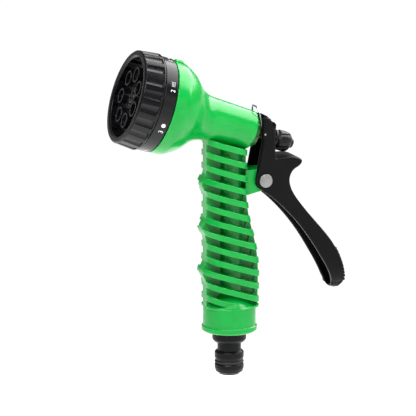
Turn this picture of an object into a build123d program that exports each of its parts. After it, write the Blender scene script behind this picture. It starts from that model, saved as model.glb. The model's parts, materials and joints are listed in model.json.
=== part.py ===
from build123d import *
import os
from math import cos, exp, radians, sin

# Garden hose spray nozzle: a pistol-grip handle with a seven-pattern dial, a rear squeeze lever,
# a pull-to-open valve and a push-fit hose nipple. Millimetres.
# +Z runs up the handle from the mouth of the hose nipple (the origin), the spray leaves towards -X
# and upwards, the lever is on +X, and the nozzle is symmetric about the plane Y = 0.

# ---- driving dimensions -------------------------------------------------------------------------
TILT = 17.5                 # spray axis above the horizontal, degrees
AXIS_Z = 136.2              # height where the spray axis crosses the handle axis
STEM_DROP = 1.0             # valve axis below the spray axis
PATTERNS = 7                # spray patterns round the dial
INDEX_ANGLE = 8.0           # index mark and chosen outlet, degrees from the top towards -Y

BARREL_REAR_T = -13.0       # stations T are distances along the spray axis from the handle axis
BELL_RIM_T = 40.9
BELL_RIM_R = 25.3
BARREL_REAR_R = 10.6
BARREL_FRONT_R = 11.9

CHAMBER_R = 7.6             # valve chamber
GLAND_BORE_R = 8.2
GLAND_INNER_T = -6.0
SEAT_T = 14.0               # wall that carries the valve seat
SEAT_R = 4.6
SEAT_LIP = 1.0

BORE_R = 4.5                # water way up the handle
NIPPLE_BORE_R = 4.2
TUBE_R = 6.7                # water tube inside the ribbed grip
GRIP_HALF_W = 11.6
GRIP_CORNER_R = 7.5
FIN_COUNT = 12
FIN_TOP_Z = 124.1           # centre of the top fin on the handle axis
FIN_PITCH_Z = 7.09
FIN_THICK = 2.9
SPINE_HALF_W = 2.9
SPINE_WALL = 1.6
FRONT_WEB_HALF_W = 4.4
REAR_WEB_HALF_W = 2.2
BUMP_Z = (57.6, 81.3, 105.2)    # finger bumps on the front of the grip
BUMP_HEIGHT = 2.5
BUMP_SPREAD = 4.0
SECTION_STEP = 2.0

BASE_TOP_Z = 38.6
SHOULDER_TOP_Z = 45.2
BASE_R = 14.3
COLLAR_R = 15.0
COLLAR_Z = 24.0             # lower face of the collar
COLLAR_TOP_Z = 27.4
SOCKET_R = 10.3
SOCKET_TOP_Z = 39.5

PIVOT_X = 17.2              # lever pivot
PIVOT_Z = 106.4
PIN_R = 2.0
RUNNING = 0.05              # radial clearance of turning and sliding fits
LUG_HALF_W = 6.6
LEVER_HALF_W = 9.5          # at the arm; the handle widens towards the fingers
LEVER_WIDE_HALF_W = 10.9
LEVER_WALL = 2.2
RIDGES = 9                  # cross ridges under the fingers
CAM_R = 2.2
CAM_T = -23.8               # centre line of the two cam ridges that push the stem washer

STEM_R = 2.0
PLUG_T = 7.5                # rear face of the valve plug
SEAL_T = 11.4
WASHER_T = -26.2            # front face of the knob washer
KNOB_T = -27.2
KNOB_END_T = -37.5
KNOB_R = 5.5

OUTLET_RING_R = 12.7        # pitch radius of ports and outlets
PORT_R = 3.0
PLATE_FRONT_T = 41.2
DIAL_REAR_T = 41.6
BAND_R = 25.5
BAND_END_T = 48.3
RING_REAR_T = 48.8
RING_REAR_R = 26.3
RING_FRONT_R = 25.0
RIM_T = 60.4
LIP_INNER_R = 21.5
FACE_T = 55.6
OUTLET_TIP_T = 59.0
OUTLET_R = 4.1
OUTLET_BORE_R = 3.3
FLUTES = 21
SOAKER, MIST, FULL, SHOWER, JET, CONE, FLAT = range(PATTERNS)     # clocking order of the patterns
CASTELLATIONS = 18

# ---- frames ---------------------------------------------------------------------------------------
_s, _c = sin(radians(TILT)), cos(radians(TILT))
SPRAY = Plane(origin=(0, 0, AXIS_Z), x_dir=(_s, 0, _c), z_dir=(-_c, 0, _s))
VALVE = Plane(origin=(-STEM_DROP * _s, 0, AXIS_Z - STEM_DROP * _c), x_dir=(_s, 0, _c), z_dir=(-_c, 0, _s))


def on_spray(part):
    """Moves a part built along Z, with X up, onto the spray axis."""
    return SPRAY.location * part


def on_valve(part):
    """Moves a part built along Z, with X up, onto the valve axis."""
    return VALVE.location * part


def turned(*outline):
    """Solid of revolution about Z from a closed outline of (radius, height) points."""
    return revolve(Plane.XZ * make_face(Polyline(*outline, close=True)), Axis.Z)


def rod(radius, low, high):
    """Cylinder on Z from one height to another."""
    return Pos(0, 0, (low + high) / 2) * Cylinder(radius, high - low)


def ring(outer, inner, low, high):
    """Tube on Z from one height to another."""
    return rod(outer, low, high) - rod(inner, low - 1, high + 1)


def block(x0, x1, y0, y1, z0, z1):
    """Box between six planes."""
    return Pos((x0 + x1) / 2, (y0 + y1) / 2, (z0 + z1) / 2) * Box(x1 - x0, y1 - y0, z1 - z0)


def clocked(index, count=PATTERNS, start=INDEX_ANGLE):
    """Turn about Z for place number index; positive angles go from the top towards -Y."""
    return Rot(0, 0, -(start + index * 360 / count))


# ---- handle moulding ------------------------------------------------------------------------------
def grip_front(z):
    """X of the front of the grip, with its three finger bumps."""
    return -14.1 - BUMP_HEIGHT * sum(exp(-((z - b) / BUMP_SPREAD) ** 2) for b in BUMP_Z)


def grip_rear(z):
    """X of the rear of the grip: a palm swell that narrows towards the lever pivot."""
    return 8.2 + 7.5 / (1 + exp((z - 78.5) / 7.0)) - 0.03 * max(0.0, 60 - z)


def grip_envelope():
    """Rounded outer form of the grip, before the pockets."""
    sections = []
    for k in range(49):
        z = BASE_TOP_Z - 1 + k * SECTION_STEP
        front, rear = grip_front(z), grip_rear(z)
        outline = RectangleRounded(rear - front, 2 * GRIP_HALF_W, GRIP_CORNER_R)
        sections.append(Pos((front + rear) / 2, 0, z) * outline)
    solid = loft(sections)
    above = Pos(0, 0, FIN_TOP_Z + FIN_THICK / 2 / _c) * Rot(0, TILT, 0) * block(-60, 60, -30, 30, 0, 40)
    return solid - above - block(-40, 40, -30, 30, 30, BASE_TOP_Z - 1)


def grip_pockets():
    """Slanted pockets between the fins, on both sides of the web, clear of tube and spines."""
    gap = FIN_PITCH_Z * _c - FIN_THICK
    pockets = []
    for k in range(FIN_COUNT + 1):
        z = FIN_TOP_Z - (k + 0.5) * FIN_PITCH_Z
        inner = block(grip_front(z) + SPINE_WALL, grip_rear(z) - SPINE_WALL, -15, 15, -gap / 2, gap / 2)
        inner -= block(-30, 0, -FRONT_WEB_HALF_W, FRONT_WEB_HALF_W, -10, 10)
        inner -= block(0, 30, -REAR_WEB_HALF_W, REAR_WEB_HALF_W, -10, 10)
        outer = Box(60, 30, gap) - Box(70, 2 * SPINE_HALF_W, 20)
        pockets.append(Pos(0, 0, z) * Rot(0, TILT, 0) * (inner + outer))
    return pockets


def barrel_and_bell():
    """Outer form of barrel and bell."""
    rear = BARREL_REAR_T
    curve = Spline((BARREL_FRONT_R, 12), (13.0, 17.2), (15.9, 21.8), (21.1, 27.2), (24.3, 32.7),
                   (BELL_RIM_R, BELL_RIM_T), tangents=((0.05, 1), (0, 1)))
    edge = 2.4
    outline = Polyline((BARREL_REAR_R, rear + edge), (BARREL_FRONT_R, 12)) + curve
    outline += Polyline((BELL_RIM_R, BELL_RIM_T), (0, BELL_RIM_T), (0, rear), (BARREL_REAR_R - edge, rear))
    outline += RadiusArc((BARREL_REAR_R - edge, rear), (BARREL_REAR_R, rear + edge), -edge)
    return revolve(Plane.XZ * make_face(outline), Axis.Z)


def bell_cavity():
    """Space in front of the valve seat, up to the recess of the outlet plate."""
    curve = Spline((SEAT_R + 3, SEAT_T + 3.2), (13.6, 21.4), (18.6, 27), (21.7, 32.5), (22.7, 37.4))
    outline = Polyline((0, 37.4), (0, SEAT_T + 3.2), (SEAT_R + 3, SEAT_T + 3.2)) + curve
    outline += Line((22.7, 37.4), (0, 37.4))
    return revolve(Plane.XZ * make_face(outline), Axis.Z)


def index_mark():
    """Small raised pointer on the rim of the bell."""
    pointer = block(22, BELL_RIM_R + 0.9, -1.6, 1.6, BELL_RIM_T - 4.4, BELL_RIM_T)
    return clocked(0) * fillet(pointer.edges().filter_by(Axis.Z).group_by(Axis.X)[-1], 0.6)


def pivot_lug():
    """Ear behind the grip that carries the lever pin."""
    boss = Pos(PIVOT_X, PIVOT_Z) * Circle(5.6)
    root = Polyline((6.9, 112.0), (PIVOT_X, PIVOT_Z + 5.6), (PIVOT_X, PIVOT_Z - 5.6), (6.9, 98.4), close=True)
    return extrude(Plane.XZ * (boss + make_face(root)), LUG_HALF_W, both=True)


def body():
    """Handle moulding in one piece: bell, barrel, ribbed grip, pivot lug, base and collar."""
    grip = grip_envelope()
    for pocket in grip_pockets():
        grip -= pocket - rod(TUBE_R, 0, 200) - block(-40, 40, -30, 30, 0, BASE_TOP_Z)
    base = turned((0, COLLAR_Z), (COLLAR_R - 0.8, COLLAR_Z), (COLLAR_R, COLLAR_Z + 0.8),
                  (COLLAR_R, COLLAR_TOP_Z - 0.5), (BASE_R, COLLAR_TOP_Z), (BASE_R, BASE_TOP_Z - 0.8),
                  (BASE_R - 0.7, BASE_TOP_Z), (TUBE_R, SHOULDER_TOP_Z), (0, SHOULDER_TOP_Z))
    whole = grip + base + pivot_lug() + on_spray(barrel_and_bell() + index_mark())
    whole -= on_spray(bell_cavity() + rod(23.7, 37.3, BELL_RIM_T + 1))
    whole -= on_valve(rod(CHAMBER_R, GLAND_INNER_T - 1, SEAT_T) + rod(GLAND_BORE_R, -20, GLAND_INNER_T))
    whole += on_valve(ring(SEAT_R + 1, SEAT_R, SEAT_T - SEAT_LIP, SEAT_T + 0.5))
    whole -= on_valve(rod(SEAT_R, SEAT_T - 3, SEAT_T + 5))
    whole -= rod(BORE_R, COLLAR_Z - 1, AXIS_Z - 4)
    whole -= rod(SOCKET_R, COLLAR_Z - 1, SOCKET_TOP_Z)
    return whole - Pos(PIVOT_X, 0, PIVOT_Z) * Rot(90, 0, 0) * Cylinder(PIN_R, 40)


# ---- hose nipple ----------------------------------------------------------------------------------
RIDGE_R = 7.9
GROOVE_R = 6.3
GROOVE_Z = 5.9
GROOVE_TOP_Z = 7.7
NECK_R = 6.4
FLANGE_R = 9.2
WASHER_THICK = 2.0
NIPPLE_RING_SECTION = 0.8


def hose_nipple():
    """Push-fit nipple: nose, two ridges with the seal groove between, neck, flange and socket shank."""
    shank_r = SOCKET_R - RUNNING
    shank_top = SOCKET_TOP_Z - WASHER_THICK
    outline = Polyline((NIPPLE_BORE_R, 0), (5.6, 0)) + RadiusArc((5.6, 0), (7.3, 1.4), 2.2)
    outline += Polyline((7.3, 1.4), (RIDGE_R, 3.4), (RIDGE_R, 5.3), (RIDGE_R - 0.4, GROOVE_Z))
    outline += Polyline((RIDGE_R - 0.4, GROOVE_Z), (GROOVE_R, GROOVE_Z), (GROOVE_R, GROOVE_TOP_Z))
    outline += Polyline((GROOVE_R, GROOVE_TOP_Z), (7.4, GROOVE_TOP_Z), (RIDGE_R, 9.4))
    outline += Polyline((RIDGE_R, 9.4), (RIDGE_R, 12.1), (7.4, 12.7), (NECK_R, 13.1), (NECK_R, 17.3))
    outline += RadiusArc((NECK_R, 17.3), (FLANGE_R, 19.6), -3.0)
    outline += Polyline((FLANGE_R, 19.6), (FLANGE_R, COLLAR_Z), (shank_r, COLLAR_Z), (shank_r, shank_top),
                        (NIPPLE_BORE_R, shank_top), (NIPPLE_BORE_R, 0))
    return revolve(Plane.XZ * make_face(outline), Axis.Z)


def torus(centre_r, section_r, z):
    """O-ring lying flat at a height."""
    return Pos(0, 0, z) * Torus(centre_r, section_r)


# ---- fixed outlet plate and its small parts ---------------------------------------------------------
DETENT_R = 18.6             # pitch radius of the click detent
DETENT_BORE_R = 1.6
DETENT_FLOOR_T = 35.4
DETENT_BALL_R = 1.5
DETENT_BALL_T = 39.95
SEAL_POCKET_T = 38.9
SEAL_OUTER_R = 4.6
SEAL_INNER_R = 2.9
HUB_R = 5.0
HUB_FRONT_T = 52.5
SCREW_R = 1.4


def outlet_plate():
    """Disc that closes the bell; carries the dial hub, the seal pocket and the detent pocket."""
    plate = rod(23.6, 37.4, PLATE_FRONT_T) + rod(HUB_R, 36.0, HUB_FRONT_T)
    plate += clocked(0) * Pos(OUTLET_RING_R, 0, 0) * rod(SEAL_OUTER_R + 1.2, 34.6, 38)
    plate -= clocked(0) * Pos(OUTLET_RING_R, 0, 0) * (rod(SEAL_OUTER_R, 36.4, 50) + rod(SEAL_INNER_R, 30, 50))
    plate += clocked(3.5) * Pos(DETENT_R, 0, 0) * rod(DETENT_BORE_R + 1.2, DETENT_FLOOR_T - 0.8, 38)
    plate -= clocked(3.5) * Pos(DETENT_R, 0, 0) * rod(DETENT_BORE_R, DETENT_FLOOR_T, 50)
    return plate - rod(SCREW_R, 38.5, 60)


def coil(radius, wire, low, high, turns):
    """Round-wire compression spring on Z."""
    path = Helix(pitch=(high - low - 2 * wire) / turns, height=high - low - 2 * wire, radius=radius)
    section = Plane(origin=path @ 0, z_dir=path % 0) * Circle(wire)
    return Pos(0, 0, low + wire) * sweep(section, path)


# ---- dial -------------------------------------------------------------------------------------------
CUP_R = 24.0
CUP_INNER_R = 22.2
FLOOR_T = 44.2              # inner face of the dial's rear disc
RIB_END_T = 53.6


def dial_body():
    """Cup that turns on the hub: numbered band, rear disc with seven ports, and seven chambers."""
    cup = turned((HUB_R + RUNNING, DIAL_REAR_T), (BAND_R - 0.3, DIAL_REAR_T), (BAND_R, DIAL_REAR_T + 0.3),
                 (BAND_R, BAND_END_T), (CUP_R, BAND_END_T), (CUP_R, FACE_T), (CUP_INNER_R, FACE_T),
                 (CUP_INNER_R, FLOOR_T), (HUB_R + 1.6, FLOOR_T), (HUB_R + 1.6, HUB_FRONT_T),
                 (HUB_R + RUNNING, HUB_FRONT_T))
    for k in range(PATTERNS):
        cup -= clocked(k) * Pos(OUTLET_RING_R, 0, 0) * rod(PORT_R, DIAL_REAR_T - 1, FLOOR_T + 1)
        cup -= clocked(k + 0.5) * Pos(DETENT_R, 0, DIAL_REAR_T) * Sphere(1.1)
        cup += clocked(k + 0.5) * block(HUB_R + 1.2, CUP_INNER_R + 0.5, -0.8, 0.8, FLOOR_T - 0.5, RIB_END_T)
    return cup


def grip_ring():
    """Fluted ring pressed over the cup, with a rounded rim and a castellated inner wall."""
    wall = turned((CUP_R, RING_REAR_T), (RING_REAR_R - 0.5, RING_REAR_T), (RING_REAR_R, RING_REAR_T + 0.6),
                  (RING_FRONT_R + 0.25, RIM_T - 0.7), (RING_FRONT_R - 0.5, RIM_T), (LIP_INNER_R + 0.9, RIM_T),
                  (LIP_INNER_R, RIM_T - 0.9), (LIP_INNER_R, FACE_T), (CUP_R, FACE_T))
    for k in range(FLUTES):
        flute = Pos(RING_REAR_R + 2.6, 0, (RING_REAR_T + RIM_T) / 2) * Rot(0, -4, 0) * Cylinder(4.0, 30)
        wall -= clocked(k, FLUTES) * (flute & block(0, 40, -9, 9, RING_REAR_T + 1.0, RIM_T - 0.8))
    for k in range(CASTELLATIONS):
        slot = block(LIP_INNER_R - 2, LIP_INNER_R + 1.4, -1.7, 1.7, FACE_T - 1, RIM_T - 1.1)
        wall -= clocked(k, CASTELLATIONS) * slot
    return wall


def face_plate():
    """Front disc with seven raised outlet tubes and the centre boss."""
    plate = rod(LIP_INNER_R - 0.1, RIB_END_T, FACE_T) + rod(CUP_INNER_R - 0.05, RIB_END_T, FACE_T - 0.05)
    plate += rod(4.6, FACE_T - 1, FACE_T + 1.4)
    for k in range(PATTERNS):
        place = clocked(k) * Pos(OUTLET_RING_R, 0, 0)
        plate += place * rod(OUTLET_R, FACE_T - 1, OUTLET_TIP_T)
        plate -= place * rod(OUTLET_BORE_R, RIB_END_T - 1, OUTLET_TIP_T + 1)
    plate += clocked(JET) * Pos(OUTLET_RING_R, 0, 0) * ring(OUTLET_BORE_R + 0.2, 1.2, RIB_END_T, FACE_T + 0.6)
    flat = rod(OUTLET_BORE_R + 0.2, RIB_END_T, FACE_T + 0.6) - Box(1.0, 5.2, 200)
    plate += clocked(FLAT) * Pos(OUTLET_RING_R, 0, 0) * flat
    return plate - rod(SCREW_R + 0.2, 50, 60) - rod(3.6, FACE_T - 0.4, 60)


def dial_screw():
    """Pan-head screw in the hub that keeps the dial on."""
    head = rod(3.1, FACE_T + 0.2, FACE_T + 2.0)
    screw = fillet(head.edges().group_by(Axis.Z)[-1], 0.9) + rod(SCREW_R, 39, FACE_T + 1)
    return screw - Pos(0, 0, FACE_T + 2.0) * (Box(0.8, 3.6, 1.8) + Box(3.6, 0.8, 1.8))


def insert_disc(low=RIB_END_T + 0.4, high=OUTLET_TIP_T - 1.2):
    """Plain plug that fits an outlet tube."""
    return rod(OUTLET_BORE_R - 0.02, low, high)


def mist_insert():
    """Domed plug with a fine centre hole."""
    plug = insert_disc() & (Pos(0, 0, OUTLET_TIP_T - 6.2) * Sphere(5.0))
    return plug - rod(0.5, 40, 70) - rod(1.8, 40, FACE_T)


def shower_insert():
    """Disc with two rings of small holes."""
    plug = insert_disc() - rod(2.8, 40, OUTLET_TIP_T - 2.6) - rod(0.35, 40, 70)
    for count, radius in ((6, 1.15), (11, 2.2)):
        for k in range(count):
            plug -= Rot(0, 0, k * 360 / count) * Pos(radius, 0, 0) * rod(0.32, 40, 70)
    return plug


def cone_insert():
    """Spider with a pointed core that leaves a ring-shaped gap."""
    collar = ring(OUTLET_BORE_R - 0.02, 2.5, RIB_END_T + 0.4, FACE_T)
    core = rod(1.5, RIB_END_T + 0.4, OUTLET_TIP_T - 1.6) + Pos(0, 0, OUTLET_TIP_T - 1.1) * Cone(1.5, 0.6, 1.0)
    arms = [Rot(0, 0, 120 * k) * block(1.2, 2.8, -0.4, 0.4, RIB_END_T + 0.4, FACE_T) for k in range(3)]
    return collar + core + arms


def soaker_insert():
    """Cross-barred aerator."""
    collar = ring(OUTLET_BORE_R - 0.02, 2.6, RIB_END_T + 0.4, OUTLET_TIP_T - 1.4)
    bars = [Rot(0, 0, a) * block(-2.8, 2.8, -0.35, 0.35, FACE_T, OUTLET_TIP_T - 1.6) for a in (0, 90)]
    return collar + bars


# ---- valve ------------------------------------------------------------------------------------------
GLAND_HEAD_T = -15.2
O_RING_SECTION = 0.8


def gland_nut():
    """Threaded nut in the rear of the barrel that guides the stem."""
    nut = rod(GLAND_BORE_R - RUNNING, BARREL_REAR_T, GLAND_INNER_T - 0.2)
    nut += rod(7.4, GLAND_HEAD_T, BARREL_REAR_T)
    nut -= rod(3.7, GLAND_INNER_T - 4.2, 0)
    for k in range(6):
        nut -= Rot(0, 0, 60 * k + 30) * block(6.6, 9, -1.1, 1.1, GLAND_HEAD_T - 1, BARREL_REAR_T - 0.3)
    return nut - rod(STEM_R + RUNNING, -30, 0)


def valve_stem():
    """Stem from the plug to the knob, with a tapped front end."""
    return rod(STEM_R, KNOB_END_T + 3.4, SEAL_T) - rod(1.2, SEAL_T - 5.4, SEAL_T + 1)


def valve_plug():
    """Plug behind the seat, with a spring spigot."""
    return rod(6.2, PLUG_T, SEAL_T) + rod(3.4, PLUG_T - 1.6, PLUG_T) - rod(STEM_R, 0, 20)


def seal_screw():
    """Pan-head screw that holds the plug seal."""
    head = rod(2.9, SEAT_T - SEAT_LIP - 0.1, SEAT_T + 1.2)
    screw = fillet(head.edges().group_by(Axis.Z)[-1], 0.7) + rod(1.2, SEAL_T - 5.2, SEAT_T)
    return screw - Pos(0, 0, SEAT_T + 1.2) * (Box(0.7, 4, 1.2) + Box(4, 0.7, 1.2))


# ---- flow knob --------------------------------------------------------------------------------------
def flow_knob():
    """Rounded thumb knob with skewed flutes and a small end boss."""
    low, high = KNOB_END_T, KNOB_T
    crown = RadiusArc((2.6, low + 1.4), (KNOB_R, low + 4.6), -3.6)
    outline = Polyline((0, high), (0, low), (2.2, low), (2.6, low + 0.5), (2.6, low + 1.4)) + crown
    outline += Polyline((KNOB_R, low + 4.6), (KNOB_R, high - 1.5), (4.4, high), (0, high))
    knob = revolve(Plane.XZ * make_face(outline), Axis.Z)
    for k in range(9):
        cutter = Pos(KNOB_R + 0.6, 0, (low + high) / 2 - 1) * Rot(18, 0, 0) * Cylinder(1.2, 30)
        knob -= Rot(0, 0, 40 * k) * (cutter & rod(12, low + 1.8, high - 1.3))
    return knob - rod(3.4, KNOB_T - 7.6, KNOB_T + 1) - rod(STEM_R + 0.4, low + 2.9, high)


def knob_insert():
    """Threaded brass sleeve moulded into the knob."""
    return ring(3.4, STEM_R + RUNNING, KNOB_T - 7.6, KNOB_T)


# ---- hold-open clip -----------------------------------------------------------------------------------
CLIP_X = 17.0               # pivot of the clip in the lever's arm
CLIP_Z = 131.4
WIRE_R = 0.5


def lock_clip():
    """Sprung wire bail: two feet in the lever's cheeks, two straight legs and a round crown."""
    foot = LEVER_HALF_W - 0.2
    leg = LEVER_HALF_W - LEVER_WALL - 0.9
    half = [(CLIP_X, -foot, CLIP_Z), (CLIP_X, -leg, CLIP_Z), (14.9, -leg + 0.5, 142.4), (14.2, -3.6, 145.4)]
    points = half + [(x, -y, z) for x, y, z in reversed(half)]
    path = FilletPolyline(*points, radius=[0.9, 2.0, 2.2, 2.2, 2.0, 0.9])
    return sweep(Plane(origin=path @ 0, z_dir=path % 0) * Circle(WIRE_R), path)


# ---- lever ------------------------------------------------------------------------------------------
LEVER_BACK = ((32.4, 109.9), (31.2, 105.6), (32.6, 100.2), (36.3, 94.3), (47.9, 80.3), (56.4, 69.4),
              (61.0, 60.0), (63.1, 50.6))
LEVER_FRONT = ((56.0, 47.5), (54.3, 52.6), (49.1, 62.4), (41.3, 74.8), (32.8, 85.6), (21.4, 96.7),
               (13.4, 102.4))
LEVER_TIP_Z = 43.2


def lever_outline():
    """Side outline of the lever: arm, thumb horn, long handle and rounded tip."""
    back = Spline(*LEVER_BACK)
    front = Spline(*LEVER_FRONT)
    tip = Spline((63.1, 50.6), (62.6, 46.2), (59.6, LEVER_TIP_Z), (56.8, 43.7), (56.0, 47.5),
                 tangents=(back % 1, front % 0))
    horn = Spline((23.2, 118.2), (29.5, 118.6), (35.2, 118.2), (38.3, 115.9), (36.9, 113.4), (34.6, 112.0),
                  (32.4, 109.9), tangents=((1, 0.1), back % 0))
    arm = Spline((15.6, 138.6), (17.6, 141.1), (20.6, 139.2), (22.5, 134.6), (23.2, 128.0),
                 tangents=((0.05, 1), (0, -1)))
    outline = arm + Line((23.2, 128.0), (23.2, 118.2)) + horn + back + tip + front
    outline += Polyline((13.4, 102.4), (11.8, 104.6), (11.9, 108.0), (15.6, 128.0), (15.6, 138.6))
    return make_face(Plane.XZ * outline), back


def lever_width(inset):
    """Solid that bounds the lever sideways: parallel arm, wider handle, rounded tip."""
    arm = LEVER_HALF_W - inset
    wide = LEVER_WIDE_HALF_W - inset
    tip = LEVER_TIP_Z + inset
    swell = Spline((arm, 96), (wide - 0.5, 74), (wide, 59), tangents=((0, -1), (0, -1)))
    end = Spline((wide, 59), (wide * 0.72, tip + 3.6), (0, tip), tangents=((0, -1), (-1, 0)))
    half = make_face(swell + end + Polyline((0, tip), (0, 150), (arm, 150), (arm, 96)))
    return extrude(Plane.YZ * (half + mirror(half, Plane.YZ)), 80)


def lever_channel():
    """Side outline of the hollow of the lever, open towards the grip."""
    back = Spline((25.4, 103.6), (34.4, 92.3), (45.9, 78.6), (54.3, 68.2), (58.6, 59.5), (60.6, 51.0))
    outline = Polyline((20.9, 126.0), (20.9, 116.8), (25.4, 112.0), (25.4, 103.6)) + back
    outline += Polyline((60.6, 51.0), (59.6, 44.6), (50.0, 40.0), (0, 90), (0, 150), (18.9, 150))
    outline += Polyline((18.9, 150), (19.0, 139.0), (20.1, 136.0), (20.5, 133.4), (20.9, 126.0))
    return make_face(Plane.XZ * outline)


def finger_ridges(back):
    """Low cross ridges on the lower back of the lever."""
    ridges = []
    for k in range(RIDGES):
        at = back @ (0.76 + 0.029 * k)
        ridges.append(Pos(at.X - 0.35, 0, at.Y) * Rot(90, 0, 0) * Cylinder(1.0, 2 * LEVER_HALF_W - 2.6))
    return ridges


def lever():
    """Squeeze lever: U-channel with two cheeks, thumb horn, ridged back and two cam ridges."""
    face, back = lever_outline()
    solid = extrude(face, LEVER_WIDE_HALF_W + 1, both=True) + finger_ridges(back)
    solid &= lever_width(0)
    solid -= extrude(lever_channel(), LEVER_WIDE_HALF_W, both=True) & lever_width(LEVER_WALL)
    solid -= Pos(PIVOT_X, 0, PIVOT_Z) * Rot(90, 0, 0) * Cylinder(PIN_R + RUNNING, 40)
    solid -= Pos(CLIP_X, 0, CLIP_Z) * Rot(90, 0, 0) * Cylinder(WIRE_R + RUNNING, 40)
    ridge = Rot(90, 0, 0) * Cylinder(CAM_R, 10.4)
    solid += on_valve(Pos(0, 0, CAM_T) * ridge & block(-5, 5, -6, 6, CAM_T - 5, CAM_T + 1.2))
    slot = Rot(0, 0, 90) * SlotOverall(6.8, 4.8)
    return solid - on_valve(Pos(0, 0, -32) * extrude(Rot(0, 0, 90) * slot, 16))


def pivot_pin():
    """Steel rivet: shank with two domed heads."""
    reach = LEVER_HALF_W + 0.15
    head = Pos(0, 0, reach) * rod(3.64, 0, 0.9)
    head = fillet(head.edges().group_by(Axis.Z)[-1], 0.5)
    pin = rod(PIN_R, -reach - 0.1, reach + 0.1) + head + Rot(180, 0, 0) * head
    return Pos(PIVOT_X, 0, PIVOT_Z) * Rot(90, 0, 0) * pin


# ---- all nodes ----------------------------------------------------------------------------------------
def outlet_insert(part, pattern):
    """Moves an insert from Z into its outlet tube."""
    return on_spray(clocked(pattern) * Pos(OUTLET_RING_R, 0, 0) * part)


def all_parts():
    """Every piece by node name."""
    chosen = clocked(0) * Pos(OUTLET_RING_R, 0, 0)
    seal = chosen * ring(SEAL_OUTER_R - 0.1, SEAL_INNER_R, SEAL_POCKET_T, DIAL_REAR_T - 0.1)
    seal_spring = chosen * coil(3.7, 0.35, 36.4, SEAL_POCKET_T, 2)
    detent = clocked(3.5) * Pos(DETENT_R, 0, 0)
    nipple_ring = torus(GROOVE_R + NIPPLE_RING_SECTION, NIPPLE_RING_SECTION, (GROOVE_Z + GROOVE_TOP_Z) / 2)
    stem_rings = torus(STEM_R + RUNNING + O_RING_SECTION, O_RING_SECTION, GLAND_INNER_T - 3.3)
    stem_rings += torus(STEM_R + RUNNING + O_RING_SECTION, O_RING_SECTION, GLAND_INNER_T - 1.2)
    return {
        "body": body(),
        "hose_nipple": hose_nipple(),
        "nipple_o_ring": nipple_ring,
        "inlet_washer": ring(SOCKET_R - RUNNING, BORE_R, SOCKET_TOP_Z - WASHER_THICK, SOCKET_TOP_Z),
        "outlet_plate": on_spray(outlet_plate()),
        "outlet_seal": on_spray(seal),
        "outlet_seal_spring": on_spray(seal_spring),
        "detent_ball": on_spray(detent * Pos(0, 0, DETENT_BALL_T) * Sphere(DETENT_BALL_R)),
        "detent_spring": on_spray(detent * coil(1.15, 0.2, DETENT_FLOOR_T, DETENT_BALL_T - 1.1, 4)),
        "dial_screw_washer": on_spray(ring(3.4, SCREW_R, FACE_T - 0.3, FACE_T + 0.2)),
        "dial_screw": on_spray(dial_screw()),
        "gland_nut": on_valve(gland_nut()),
        "stem_o_rings": on_valve(stem_rings),
        "spring_washer": on_valve(ring(6.8, STEM_R + 0.3, GLAND_INNER_T - 0.2, GLAND_INNER_T + 0.8)),
        "pivot_pin": pivot_pin(),
        "dial_body": on_spray(dial_body()),
        "grip_ring": on_spray(grip_ring()),
        "face_plate": on_spray(face_plate()),
        "mist_insert": outlet_insert(mist_insert(), MIST),
        "shower_insert": outlet_insert(shower_insert(), SHOWER),
        "cone_insert": outlet_insert(cone_insert(), CONE),
        "soaker_insert": outlet_insert(soaker_insert(), SOAKER),
        "valve_stem": on_valve(valve_stem()),
        "valve_plug": on_valve(valve_plug()),
        "plug_seal": on_valve(ring(6.0, 1.25, SEAL_T, SEAT_T - SEAT_LIP - 0.1)),
        "seal_screw": on_valve(seal_screw()),
        "return_spring": on_valve(coil(4.6, 0.5, GLAND_INNER_T + 0.8, PLUG_T, 5.5)),
        "knob_washer": on_valve(ring(5.0, STEM_R + 0.1, KNOB_T, WASHER_T)),
        "knob_insert": on_valve(knob_insert()),
        "flow_knob": on_valve(flow_knob()),
        "lever": lever(),
        "lock_clip": lock_clip(),
    }


os.makedirs("parts", exist_ok=True)
for name, part in all_parts().items():
    export_step(part, f"parts/{name}.step")
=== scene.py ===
import json
from math import cos, pi, radians, sin

import bmesh
import bpy
import numpy as np
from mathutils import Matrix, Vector


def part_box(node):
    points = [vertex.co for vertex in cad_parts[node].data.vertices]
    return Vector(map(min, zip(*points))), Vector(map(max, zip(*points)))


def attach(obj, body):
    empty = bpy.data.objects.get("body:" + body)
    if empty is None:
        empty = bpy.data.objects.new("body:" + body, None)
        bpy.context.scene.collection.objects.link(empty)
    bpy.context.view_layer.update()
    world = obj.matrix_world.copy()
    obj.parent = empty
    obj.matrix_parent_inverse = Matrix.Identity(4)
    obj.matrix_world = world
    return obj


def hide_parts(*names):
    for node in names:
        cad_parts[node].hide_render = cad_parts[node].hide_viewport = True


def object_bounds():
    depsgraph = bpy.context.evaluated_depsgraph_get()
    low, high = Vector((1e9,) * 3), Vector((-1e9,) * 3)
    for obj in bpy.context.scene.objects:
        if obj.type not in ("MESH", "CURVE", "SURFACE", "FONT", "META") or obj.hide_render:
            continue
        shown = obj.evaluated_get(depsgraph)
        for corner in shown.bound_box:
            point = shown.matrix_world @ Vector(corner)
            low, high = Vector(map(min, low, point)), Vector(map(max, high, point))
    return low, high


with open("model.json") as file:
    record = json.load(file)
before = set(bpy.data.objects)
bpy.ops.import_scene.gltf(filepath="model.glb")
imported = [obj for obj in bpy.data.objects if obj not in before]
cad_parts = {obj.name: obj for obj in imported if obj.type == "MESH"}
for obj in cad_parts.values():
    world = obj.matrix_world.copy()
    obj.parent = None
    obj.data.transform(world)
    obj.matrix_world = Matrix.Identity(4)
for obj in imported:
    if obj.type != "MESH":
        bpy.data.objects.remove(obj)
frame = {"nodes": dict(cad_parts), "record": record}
cad_low, cad_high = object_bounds()
nodes = frame["nodes"]
scene = bpy.context.scene
MM = 0.001

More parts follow.
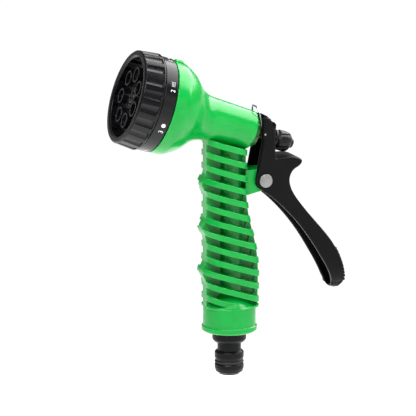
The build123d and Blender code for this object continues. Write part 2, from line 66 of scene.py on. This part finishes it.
# ---- driving dimensions (metres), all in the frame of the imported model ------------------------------
TILT = radians(17.5)            # spray axis above the horizontal
AXIS_POINT = Vector((0, 0, 136.2 * MM))
INDEX_ANGLE = radians(8)        # chosen pattern, from the top of the dial towards -Y
PATTERNS = 7
LEVER_CHEEK_Y = 9.0 * MM        # plane through both cheeks of the lever
LEVER_WEB_Y = 2.0 * MM          # plane through its web and its closed tip
LEVER_BACK_ROUND = 2.2 * MM     # rounding along the lever's back
LEVER_FRONT_ROUND = 0.7 * MM    # rounding along its open front
LEVER_VOXEL = 0.34 * MM
BAND_RADIUS = 25.5 * MM         # numbered band of the dial
MARK_STATION = 44.3 * MM        # along the spray axis
MARK_HEIGHT = 2.5 * MM
MARK_RAISE = 0.05 * MM
MARK_SINK = 0.03 * MM           # how far the print reaches into the band
DIGIT_SHIFT = -3.3              # start of the digit and of its symbol along the mark, millimetres
SYMBOL_SHIFT = -0.6
DIGIT_SIZE = 1.38               # type size for one unit of digit height
DIGIT_WEIGHT = 0.025
BACK_MARGIN = 4 * MM            # outline points this far behind the lever's front line are its back

# Camera: a long lens, slightly above the object and to its front left.
CAMERA_AIM = Vector((-12.09, 0, 91.66)) * MM
CAMERA_DISTANCE = 1.6
CAMERA_AZIMUTH = radians(-18.6)
CAMERA_ELEVATION = radians(11.4)
CAMERA_LENS = 259.35
FLOOR_Z = -0.32
FLOOR_HALF = 30.0


def srgb(red, green, blue):
    """Linear colour with full alpha from 0-255 display values."""
    def linear(value):
        return ((value / 255 + 0.055) / 1.055) ** 2.4 if value > 10 else value / 255 / 12.92
    return linear(red), linear(green), linear(blue), 1


# ---- camera, floor and lights -------------------------------------------------------------------------
def direction(azimuth, elevation):
    """Unit vector from the object towards a viewer."""
    return Vector((sin(azimuth) * cos(elevation), -cos(azimuth) * cos(elevation), sin(elevation)))


def aim(obj, target):
    """Turns a camera or a light towards a point."""
    obj.rotation_mode = "QUATERNION"
    obj.rotation_quaternion = (target - obj.location).to_track_quat("-Z", "Y")


def add_camera():
    """Camera of the closing picture."""
    data = bpy.data.cameras.new("camera")
    data.sensor_width = 36
    data.lens = CAMERA_LENS
    data.clip_start = 0.05
    data.clip_end = 60
    camera = bpy.data.objects.new("camera", data)
    scene.collection.objects.link(camera)
    camera.location = CAMERA_AIM + direction(CAMERA_AZIMUTH, CAMERA_ELEVATION) * CAMERA_DISTANCE
    aim(camera, CAMERA_AIM)
    scene.camera = camera


def add_softbox(name, azimuth, elevation, distance, width, height, power, colour=(1, 1, 1)):
    """Rectangular area light that looks at the middle of the object."""
    data = bpy.data.lights.new(name, "AREA")
    data.shape = "RECTANGLE"
    data.size = width
    data.size_y = height
    data.energy = power
    data.color = colour
    light = bpy.data.objects.new(name, data)
    scene.collection.objects.link(light)
    centre = (cad_low + cad_high) / 2
    light.location = centre + direction(radians(azimuth), radians(elevation)) * distance
    aim(light, centre)


def add_floor():
    """Wide pale sweep, far enough below the object for its shadow to melt away."""
    mesh = bpy.data.meshes.new("floor")
    corners = [(x * FLOOR_HALF, y * FLOOR_HALF, FLOOR_Z) for x, y in ((-1, -1), (1, -1), (1, 1), (-1, 1))]
    mesh.from_pydata(corners, [], [(0, 1, 2, 3)])
    floor = bpy.data.objects.new("floor", mesh)
    scene.collection.objects.link(floor)
    material = bpy.data.materials.new("floor_paper")
    material.use_nodes = True
    shader = material.node_tree.nodes["Principled BSDF"]
    shader.inputs["Base Color"].default_value = (0.86, 0.86, 0.86, 1)
    shader.inputs["Roughness"].default_value = 0.9
    shader.inputs["Specular IOR Level"].default_value = 0.1
    shader.inputs["Emission Color"].default_value = (1, 1, 1, 1)
    shader.inputs["Emission Strength"].default_value = 0.85
    mesh.materials.append(material)


def light_scene():
    """Dim even surround, and softboxes at the front left and at the right."""
    world = bpy.data.worlds.new("studio")
    scene.world = world
    world.use_nodes = True
    world.node_tree.nodes["Background"].inputs["Color"].default_value = (0.95, 0.97, 1.0, 1)
    world.node_tree.nodes["Background"].inputs["Strength"].default_value = 0.22
    add_softbox("key", -32, 46, 0.8, 0.5, 0.36, 6.5)
    add_softbox("side", 104, 42, 0.8, 1.05, 0.62, 13.0)
    add_softbox("fill", 30, 10, 1.3, 0.5, 0.8, 1.2)
    add_softbox("top", 0, 84, 1.0, 0.8, 0.35, 2.0)
    scene.view_settings.view_transform = "Standard"
    scene.view_settings.look = "None"


# ---- material building --------------------------------------------------------------------------------
class Shader:
    """Principled material with short calls for its procedural inputs."""

    def __init__(self, name):
        """Empty material of that name."""
        self.material = bpy.data.materials.new(name)
        self.material.use_nodes = True
        self.tree = self.material.node_tree
        self.principled = self.tree.nodes["Principled BSDF"]
        self.coordinates = self.add("ShaderNodeTexCoord").outputs["Object"]

    def add(self, kind, **values):
        """New node; settings by attribute name, inputs by socket name."""
        node = self.tree.nodes.new(kind)
        for key, value in values.items():
            if key in node.inputs:
                node.inputs[key].default_value = value
            else:
                setattr(node, key, value)
        return node

    def link(self, source, target):
        """Joins an output to an input."""
        self.tree.links.new(source, target)

    def set(self, **values):
        """Constants on the shader's own sockets."""
        for key, value in values.items():
            self.principled.inputs[key.replace("_", " ")].default_value = value

    def noise(self, scale, detail=3.0, roughness=0.5, stretch=None):
        """Noise factor at so many cells a metre, optionally stretched."""
        node = self.add("ShaderNodeTexNoise", Scale=scale, Detail=detail, Roughness=roughness)
        source = self.coordinates
        if stretch:
            mapping = self.add("ShaderNodeMapping", Scale=stretch)
            self.link(source, mapping.inputs["Vector"])
            source = mapping.outputs["Vector"]
        self.link(source, node.inputs["Vector"])
        return node.outputs["Fac"]

    def ramp(self, factor, low, high, to_low, to_high):
        """Maps a factor from one range to another, clamped."""
        node = self.add("ShaderNodeMapRange")
        node.inputs["From Min"].default_value = low
        node.inputs["From Max"].default_value = high
        node.inputs["To Min"].default_value = to_low
        node.inputs["To Max"].default_value = to_high
        self.link(factor, node.inputs["Value"])
        return node.outputs["Result"]

    def mix(self, factor, first, second):
        """Colour mix; each colour is a value or a socket."""
        node = self.add("ShaderNodeMix", data_type="RGBA")
        self.link(factor, node.inputs["Factor"])
        for colour, socket in ((first, node.inputs[6]), (second, node.inputs[7])):
            if isinstance(colour, tuple):
                socket.default_value = colour
            else:
                self.link(colour, socket)
        return node.outputs[2]

    def rounded(self, radius):
        """Normal that reads sharp edges as small moulded radii."""
        return self.add("ShaderNodeBevel", samples=6, Radius=radius).outputs["Normal"]

    def edge_factor(self, radius):
        """1 on edges, 0 on open faces."""
        bent = self.rounded(radius)
        flat = self.add("ShaderNodeNewGeometry").outputs["Normal"]
        dot = self.add("ShaderNodeVectorMath", operation="DOT_PRODUCT")
        self.link(bent, dot.inputs[0])
        self.link(flat, dot.inputs[1])
        return self.ramp(dot.outputs["Value"], 0.98, 0.75, 0.0, 1.0)

    def bump(self, height, distance, strength, normal=None):
        """Normal disturbed by a height."""
        node = self.add("ShaderNodeBump", Distance=distance, Strength=strength)
        self.link(height, node.inputs["Height"])
        if normal is not None:
            self.link(normal, node.inputs["Normal"])
        return node.outputs["Normal"]

    def finish(self, colour, roughness, normal):
        """Links the three main inputs and returns the material."""
        for source, name in ((colour, "Base Color"), (roughness, "Roughness"), (normal, "Normal")):
            self.link(source, self.principled.inputs[name])
        return self.material


def moulded_plastic(name, colour, shade, edge, rough, edge_radius, texture_scale, texture_depth, gloss=0.5):
    """Injection-moulded plastic: uneven pigment, edges painted paler as a painted highlight, moulded
    texture, fine scuffs.
    """
    shader = Shader(name)
    cloud = shader.ramp(shader.noise(90, 4, 0.55), 0.35, 0.7, 0.0, 1.0)
    speckle = shader.ramp(shader.noise(1500, 2), 0.3, 0.75, 0.0, 0.35)
    body = shader.mix(cloud, colour, shade)
    body = shader.mix(speckle, body, shade)
    # Painted highlight: edges are mixed towards the paler edge colour, as if they caught the light.
    wear_and_edge_highlight = shader.edge_factor(edge_radius)
    body = shader.mix(wear_and_edge_highlight, body, edge)
    scuffs = shader.noise(420, 5, 0.7, (1, 1, 0.25))
    roughness = shader.ramp(scuffs, 0.35, 0.75, rough[0], rough[1])
    grain = shader.noise(texture_scale, 3, 0.6)
    normal = shader.bump(grain, texture_depth, 0.6, shader.rounded(edge_radius))
    shader.set(IOR=1.5, Specular_IOR_Level=gloss)
    return shader.finish(body, roughness, normal)


def green_plastic():
    """Slightly translucent green, so that recesses glow instead of going black."""
    material = moulded_plastic(
        "green_plastic", srgb(4, 164, 64), srgb(2, 154, 56), srgb(58, 206, 112), (0.16, 0.28), 0.45 * MM,
        2600, 0.015 * MM, 0.36,
    )
    shader = material.node_tree.nodes["Principled BSDF"]
    shader.inputs["Subsurface Weight"].default_value = 0.35
    shader.inputs["Subsurface Scale"].default_value = 2.5 * MM
    shader.inputs["Subsurface Radius"].default_value = (0.15, 1.0, 0.4)
    return material


def print_ink():
    """White pad-printed ink, slightly worn."""
    shader = Shader("print_ink")
    wear_and_edge_highlight = shader.ramp(shader.noise(1400, 4, 0.7), 0.5, 0.8, 0.0, 0.6)
    body = shader.mix(wear_and_edge_highlight, srgb(232, 232, 230), srgb(150, 150, 150))
    roughness = shader.ramp(shader.noise(800, 3), 0.3, 0.8, 0.45, 0.6)
    return shader.finish(body, roughness, shader.rounded(0.05 * MM))


def metal(name, colour, dark, rough, brush_scale, brush, depth=0.01 * MM):
    """Drawn, turned or brushed metal with fine directional lines and dull spots."""
    shader = Shader(name)
    lines = shader.noise(brush_scale, 2, 0.6, brush)
    stains = shader.noise(260, 5, 0.6)
    body = shader.mix(shader.ramp(stains, 0.4, 0.75, 0.0, 0.8), colour, dark)
    roughness = shader.ramp(lines, 0.3, 0.75, rough[0], rough[1])
    normal = shader.bump(lines, depth, 0.5, shader.rounded(0.15 * MM))
    shader.set(Metallic=1.0)
    return shader.finish(body, roughness, normal)


def rubber(name):
    """Moulded nitrile rubber: dull, slightly dusty."""
    shader = Shader(name)
    dust = shader.noise(900, 5, 0.65)
    body = shader.mix(shader.ramp(dust, 0.45, 0.8, 0.0, 0.7), srgb(13, 13, 14), srgb(30, 30, 31))
    roughness = shader.ramp(dust, 0.3, 0.8, 0.5, 0.72)
    normal = shader.bump(shader.noise(3600, 3, 0.6), 0.02 * MM, 0.5)
    return shader.finish(body, roughness, normal)


def make_materials():
    """One material for each slot of the record."""
    # The third colour of each moulded plastic is its edge colour, a painted highlight.
    return {
        "green_plastic": green_plastic(),
        # Darker copy of the body green: painted shade for the shadowed cap at the rear of the barrel.
        "gland_plastic": moulded_plastic(
            "gland_plastic", srgb(16, 92, 38), srgb(10, 80, 30), srgb(50, 140, 72), (0.24, 0.36), 0.3 * MM,
            2600, 0.02 * MM,
        ),
        "dial_plastic": moulded_plastic(
            "dial_plastic", srgb(10, 10, 12), srgb(7, 7, 9), srgb(30, 30, 34), (0.18, 0.30), 0.35 * MM,
            2200, 0.03 * MM, 0.30,
        ),
        "insert_plastic": moulded_plastic(
            "insert_plastic", srgb(16, 16, 18), srgb(11, 11, 12), srgb(34, 34, 36), (0.28, 0.42), 0.2 * MM,
            2600, 0.02 * MM, 0.25,
        ),
        "lever_plastic": moulded_plastic(
            "lever_plastic", srgb(9, 9, 9), srgb(6, 6, 6), srgb(28, 27, 27), (0.32, 0.50), 0.35 * MM,
            1500, 0.12 * MM, 0.13,
        ),
        "knob_plastic": moulded_plastic(
            "knob_plastic", srgb(16, 16, 17), srgb(11, 11, 12), srgb(36, 36, 38), (0.30, 0.44), 0.25 * MM,
            2600, 0.03 * MM, 0.25,
        ),
        "nipple_plastic": moulded_plastic(
            "nipple_plastic", srgb(11, 11, 12), srgb(8, 8, 9), srgb(34, 34, 36), (0.30, 0.46), 0.3 * MM,
            1800, 0.06 * MM, 0.18,
        ),
        "seal_rubber": rubber("seal_rubber"),
        "brass": metal("brass", (0.72, 0.52, 0.24, 1), (0.48, 0.33, 0.15, 1), (0.22, 0.38), 1400, (1, 1, 8)),
        "black_steel": metal(
            "black_steel", (0.05, 0.05, 0.052, 1), (0.03, 0.03, 0.03, 1), (0.3, 0.45), 1500, (1, 5, 1),
        ),
        "steel": metal("steel", (0.34, 0.34, 0.33, 1), (0.22, 0.22, 0.22, 1), (0.30, 0.46), 1700, (1, 6, 1)),
        "spring_steel": metal(
            "spring_steel", (0.46, 0.46, 0.47, 1), (0.30, 0.30, 0.30, 1), (0.22, 0.36), 1500, (6, 1, 1),
        ),
    }


def dress(obj, material):
    """One material over the whole object."""
    obj.data.materials.clear()
    obj.data.materials.append(material)


# ---- lever with rounded edges ---------------------------------------------------------------------------
def copy_mesh(node, name):
    """Welded copy of a CAD node's mesh as a new object."""
    mesh = nodes[node].data.copy()
    mesh.name = name
    obj = bpy.data.objects.new(name, mesh)
    scene.collection.objects.link(obj)
    work = bmesh.new()
    work.from_mesh(mesh)
    bmesh.ops.remove_doubles(work, verts=work.verts, dist=1e-6)
    work.to_mesh(mesh)
    work.free()
    mesh.update()
    return obj


def apply_modifiers(obj):
    """Replaces the object's mesh by its evaluated mesh."""
    evaluated = obj.evaluated_get(bpy.context.evaluated_depsgraph_get())
    mesh = bpy.data.meshes.new_from_object(evaluated)
    obj.modifiers.clear()
    obj.data = mesh


def section_outline(mesh, y):
    """Longest loop, as (x, z), of the cut through a mesh at that y."""
    work = bmesh.new()
    work.from_mesh(mesh)
    everything = work.verts[:] + work.edges[:] + work.faces[:]
    cut = bmesh.ops.bisect_plane(work, geom=everything, plane_co=(0, y, 0), plane_no=(0, 1, 0))["geom_cut"]
    border = {}
    for edge in cut:
        if isinstance(edge, bmesh.types.BMEdge):
            a, b = edge.verts
            border.setdefault(a, []).append(b)
            border.setdefault(b, []).append(a)
    loops, seen = [], set()
    for start in border:
        if start in seen:
            continue
        loop, here = [start], start
        seen.add(start)
        while True:
            ahead = [v for v in border[here] if v not in seen]
            if not ahead:
                break
            here = ahead[0]
            seen.add(here)
            loop.append(here)
        loops.append(np.array([(v.co.x, v.co.z) for v in loop]))
    work.free()
    return max(loops, key=lambda points: np.ptp(points[:, 1]))


def plan_outline(mesh):
    """Widest half width for each height, as (y, z) from the top of the lever round its tip."""
    points = sorted({(round(v.co.z, 6), round(abs(v.co.y), 6)) for v in mesh.vertices})
    hull = []
    for z, y in points:
        while len(hull) > 1:
            (z1, y1), (z2, y2) = hull[-2:]
            if (z2 - z1) * (y - y1) - (y2 - y1) * (z - z1) < 0:
                break
            hull.pop()
        hull.append((z, y))
    return np.array([(y, z) for z, y in reversed(hull)])


def nearest_on_outline(points, outline, closed=True):
    """Closest outline point and distance for each point."""
    start, end = outline, np.roll(outline, -1, axis=0)
    if not closed:
        start, end = start[:-1], end[:-1]
    step = end - start
    length2 = (step ** 2).sum(axis=1)
    best = np.full(len(points), np.inf)
    closest = np.zeros_like(points)
    for a, d, l2 in zip(start, step, length2):
        if l2 < 1e-18:
            continue
        s = np.clip(((points - a) @ d) / l2, 0, 1)
        foot = a + s[:, None] * d
        gap = ((points - foot) ** 2).sum(axis=1)
        closer = gap < best
        best[closer] = gap[closer]
        closest[closer] = foot[closer]
    return closest, np.sqrt(best)


def inside(points, outline):
    """True for each point within the closed outline."""
    result = np.zeros(len(points), bool)
    for (x0, z0), (x1, z1) in zip(outline, np.roll(outline, -1, axis=0)):
        crosses = (z0 > points[:, 1]) != (z1 > points[:, 1])
        if z1 != z0:
            result ^= crosses & (points[:, 0] < (x1 - x0) * (points[:, 1] - z0) / (z1 - z0) + x0)
    return result


def side_depth(side, outline):
    """Signed depth inside an outline, inward direction and closest outline point."""
    closest, distance = nearest_on_outline(side, outline)
    sign = np.where(inside(side, outline), 1.0, -1.0)
    inward = (side - closest) / np.maximum(distance, 1e-9)[:, None] * sign[:, None]
    return distance * sign, inward, closest


def back_of_lever(closest, outline):
    """True where the closest outline point is not on the open front of the lever."""
    tip = outline[outline[:, 1].argmin()]
    knee = outline[outline[:, 0].argmin()]
    along = tip - knee
    behind = (closest[:, 0] - knee[0]) * along[1] - (closest[:, 1] - knee[1]) * along[0]
    return behind < -BACK_MARGIN * np.linalg.norm(along)


def make_lever():
    """Lever with its back edges rounded to a quarter circle and its front edges eased."""
    obj = copy_mesh("lever", "lever_moulding")
    low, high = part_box("lever")
    cheek = section_outline(obj.data, -LEVER_CHEEK_Y)
    web = section_outline(obj.data, -LEVER_WEB_Y)
    plan = plan_outline(obj.data)
    remesh = obj.modifiers.new("remesh", "REMESH")
    remesh.mode = "VOXEL"
    remesh.voxel_size = LEVER_VOXEL
    apply_modifiers(obj)
    mesh = obj.data
    co = np.empty(len(mesh.vertices) * 3)
    mesh.vertices.foreach_get("co", co)
    co = co.reshape(-1, 3)
    side = co[:, [0, 2]]
    flat = np.stack([np.abs(co[:, 1]), co[:, 2]], axis=1)
    depth, inward, closest = side_depth(side, cheek)
    web_depth, web_inward = side_depth(side, web)[:2]
    radius = np.where(back_of_lever(closest, cheek), LEVER_BACK_ROUND, LEVER_FRONT_ROUND)
    by_web = web_depth > depth
    depth = np.where(by_web, web_depth, depth)
    inward = np.where(by_web[:, None], web_inward, inward)
    radius = np.where(by_web, LEVER_BACK_ROUND, radius)
    foot, edge = nearest_on_outline(flat, plan, closed=False)
    across = (flat - foot) / np.maximum(edge, 1e-9)[:, None]
    across[edge < 1e-6] = (-1, 0)
    a, b = radius - depth, radius - edge
    reach = np.hypot(a, b)
    moved = (a > 0) & (b > 0) & (reach > radius)
    pull = np.where(moved, radius / np.maximum(reach, 1e-9), 1.0)
    push_side = np.where(moved, a * (1 - pull), 0.0)
    push_flat = np.where(moved, b * (1 - pull), 0.0)
    mirror = np.sign(co[:, 1])
    co[:, 0] += inward[:, 0] * push_side
    co[:, 2] += inward[:, 1] * push_side + across[:, 1] * push_flat
    co[:, 1] += mirror * across[:, 0] * push_flat
    co = np.clip(co, np.array(low), np.array(high))
    mesh.vertices.foreach_set("co", co.ravel())
    mesh.update()
    mesh.shade_smooth()
    return obj


# ---- printed marks on the dial ----------------------------------------------------------------------------
def disc(x, y, radius, sides=20):
    """Filled circle as one polygon."""
    turns = [2 * pi * k / sides for k in range(sides)]
    return [(x + radius * cos(turn), y + radius * sin(turn)) for turn in turns]


def bar(x0, y0, x1, y1):
    """Filled rectangle as one polygon."""
    return [(x0, y0), (x1, y0), (x1, y1), (x0, y1)]


def pictogram(pattern):
    """Polygons in millimetres, 2.4 high, for the spray pattern of that number."""
    if pattern == 0:
        return [disc(0.9 + 1.1 * k, 0, 0.42) for k in range(3)]
    if pattern == 1:
        return [disc(0.7 + 0.75 * k, 0.75 * j, 0.22, 10) for k in range(4) for j in (-1, 0, 1)]
    if pattern == 2:
        return [disc(1.7, 0, 1.15, 28)]
    if pattern == 3:
        ring = [disc(1.7 + cos(pi * k / 4), sin(pi * k / 4), 0.24, 10) for k in range(8)]
        return ring + [disc(1.7, 0, 0.3, 12)]
    if pattern == 4:
        return [bar(0.3, -0.3, 3.4, 0.3)]
    if pattern == 5:
        lower = [(0.4, -0.12), (3.2, -1.15), (3.2, -0.8), (0.4, 0.12)]
        upper = [(0.4, -0.12), (3.2, 0.8), (3.2, 1.15), (0.4, 0.12)]
        return [lower, upper]
    return [bar(0.4, 0.85 * j - 0.2, 3.2, 0.85 * j + 0.2) for j in (-1, 0, 1)]


def digit_mesh(digit):
    """Flat mesh of one digit in the built-in typeface, centred on its height."""
    curve = bpy.data.curves.new("digit", "FONT")
    curve.body = str(digit)
    curve.size = MARK_HEIGHT / MM * DIGIT_SIZE
    curve.offset = DIGIT_WEIGHT
    curve.resolution_u = 5
    obj = bpy.data.objects.new("digit", curve)
    scene.collection.objects.link(obj)
    mesh = bpy.data.meshes.new_from_object(obj.evaluated_get(bpy.context.evaluated_depsgraph_get()))
    bpy.data.objects.remove(obj)
    points = [(v.co.x, v.co.y) for v in mesh.vertices]
    faces = [tuple(f.vertices) for f in mesh.polygons]
    bpy.data.meshes.remove(mesh)
    heights = [y for x, y in points]
    middle = (min(heights) + max(heights)) / 2
    left = min(x for x, y in points)
    return [(x - left, y - middle) for x, y in points], faces


def make_marks():
    """Raised print on the dial band: a number and a small spray symbol for each pattern."""
    up = Vector((sin(TILT), 0, cos(TILT)))
    forward = Vector((-cos(TILT), 0, sin(TILT)))
    work = bmesh.new()

    def wrap(x, y, turn):
        """Point at (x, y) millimetres over the band, from the middle of the mark."""
        angle = turn - x * MM / BAND_RADIUS
        radial = up * cos(angle) + Vector((0, -1, 0)) * sin(angle)
        return AXIS_POINT + forward * (MARK_STATION + y * MM) + radial * (BAND_RADIUS + MARK_RAISE)

    for pattern in range(PATTERNS):
        turn = INDEX_ANGLE + 2 * pi * pattern / PATTERNS
        points, faces = digit_mesh(pattern + 1)
        shapes = [(points, faces, DIGIT_SHIFT)]
        shapes += [(outline, [range(len(outline))], SYMBOL_SHIFT) for outline in pictogram(pattern)]
        for outline, polygons, shift in shapes:
            verts = [work.verts.new(wrap(x + shift, y, turn)) for x, y in outline]
            for polygon in polygons:
                work.faces.new([verts[k] for k in polygon])
    bmesh.ops.recalc_face_normals(work, faces=work.faces)
    skin = bmesh.ops.extrude_face_region(work, geom=work.faces[:])["geom"]
    for vert in (v for v in skin if isinstance(v, bmesh.types.BMVert)):
        away = vert.co - AXIS_POINT
        radial = away - forward * away.dot(forward)
        vert.co -= radial.normalized() * (MARK_RAISE + MARK_SINK)
    bmesh.ops.recalc_face_normals(work, faces=work.faces)
    mesh = bpy.data.meshes.new("dial_marks")
    work.to_mesh(mesh)
    work.free()
    obj = bpy.data.objects.new("dial_marks", mesh)
    scene.collection.objects.link(obj)
    return obj


# ---- build ------------------------------------------------------------------------------------------------
add_camera()
add_floor()
light_scene()
materials = make_materials()
for part in frame["record"]["subparts"]:
    dress(nodes[part["node"]], materials[part["material_slot"]])

lever = make_lever()
dress(lever, materials["lever_plastic"])
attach(lever, "lever")
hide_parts("lever")

marks = make_marks()
dress(marks, print_ink())
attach(marks, "dial")
